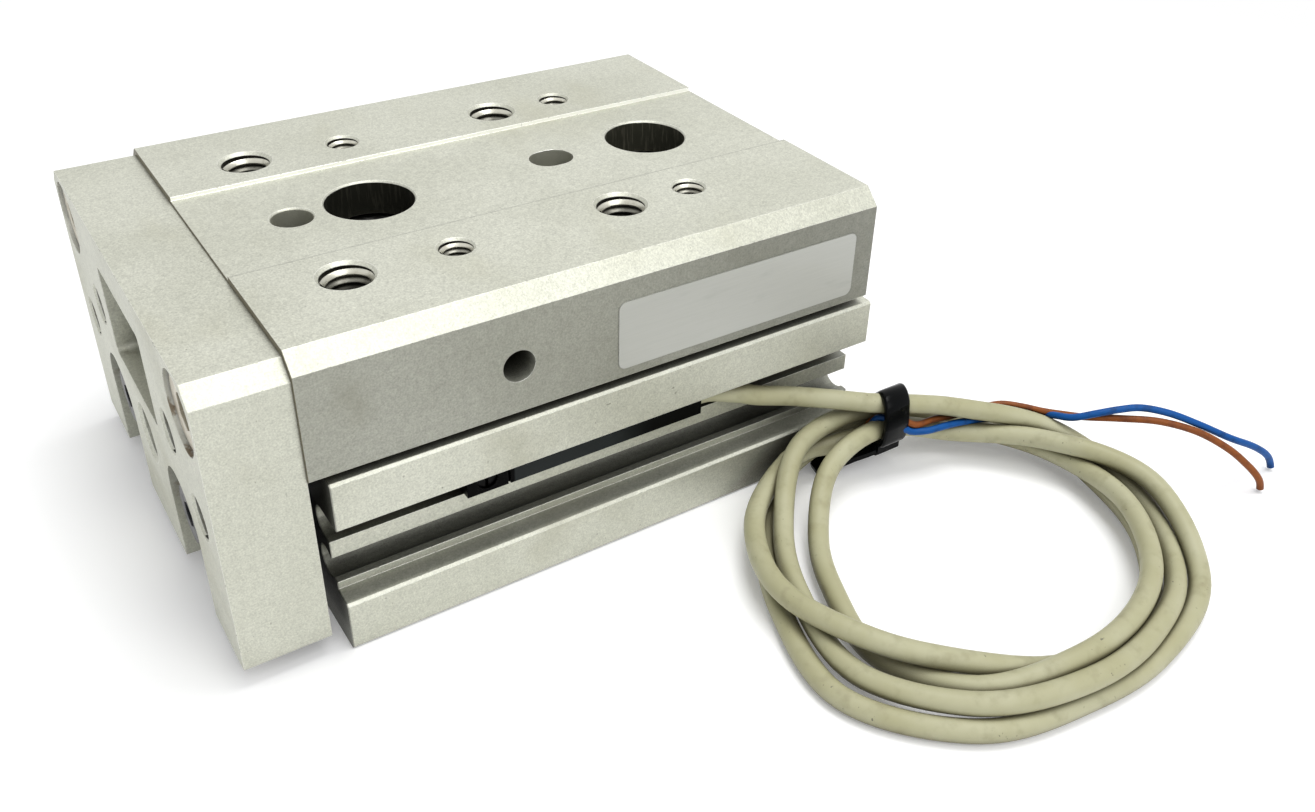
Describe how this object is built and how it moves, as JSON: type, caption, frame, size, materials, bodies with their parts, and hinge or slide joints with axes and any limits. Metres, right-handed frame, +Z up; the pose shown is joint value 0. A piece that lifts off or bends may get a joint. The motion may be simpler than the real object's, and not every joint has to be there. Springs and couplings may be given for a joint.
{
  "type": "pneumatic slide table",
  "caption": "Compact twin-rod pneumatic slide table with a crossed-roller guide, a drilled table, an end plate and a tied coil of switch lead.",
  "frame": {"origin": "under the middle of the retracted unit, on the underside of its body", "axes": "+X the way the table extends, +Y towards the side with the switch slots, +Z up out of the table's top"},
  "size_m": [0.1342, 0.115, 0.04],
  "materials": {
    "anodised": "clear anodised over a fine blast",
    "bare_aluminium": "turned",
    "rail_steel": "hardened and ground",
    "bush_steel": "turned",
    "polished_steel": "hard chrome, polished",
    "bright_screw": "zinc plated",
    "dark_screw": "black oxide",
    "spring_steel": "phosphated spring steel",
    "brass_bush": "turned",
    "seal_rubber": "nitrile rubber",
    "urethane": "urethane",
    "cage_resin": "moulded resin",
    "magnet": "bonded magnet",
    "switch_black": "moulded resin",
    "label": "bare foil",
    "lead_jacket": "soft vinyl",
    "tie_black": "moulded nylon",
    "brown_wire": "vinyl insulation",
    "blue_wire": "vinyl insulation"
  },
  "bodies": {
    "base": {"cylinder_body": "anodised", "guide_block": "rail_steel", "guide_screws": "dark_screw", "cage_stops": "rail_steel", "cage_stop_screws": "dark_screw", "gland_rings": "spring_steel", "seal_supports": "brass_bush", "rod_seals": "seal_rubber", "rod_bumpers": "urethane", "head_bumpers": "urethane", "head_caps": "bare_aluminium", "cap_seals": "seal_rubber", "cap_rings": "spring_steel", "auto_switch": "switch_black", "switch_screw": "bright_screw", "switch_lead": "lead_jacket", "lead_coil": "lead_jacket", "cable_tie": "tie_black", "brown_wire": "brown_wire", "blue_wire": "blue_wire"},
    "table": {"table": "anodised", "end_plate": "anodised", "plate_screws": "bright_screw", "near_rail": "rail_steel", "far_rail": "rail_steel", "preload_screws": "dark_screw", "piston_rods": "polished_steel", "pistons": "bare_aluminium", "piston_seals": "seal_rubber", "piston_magnets": "magnet", "piston_nuts": "bright_screw", "floating_bushes": "bush_steel", "rod_screws": "dark_screw", "rating_plate": "label"},
    "cage": {"roller_cages": "cage_resin", "cross_rollers": "polished_steel"}
  },
  "joints": [
    {"name": "table_slide", "type": "slide", "parent": "base", "child": "table", "axis": [1, 0, 0], "range_m": [0, 0.02]},
    {"name": "cage_slide", "type": "slide", "parent": "base", "child": "cage", "axis": [1, 0, 0], "range_m": [0, 0.01]}
  ],
  "couplings": [
    {"joint": "cage_slide", "follows": "table_slide", "ratio": 0.5}
  ]
}
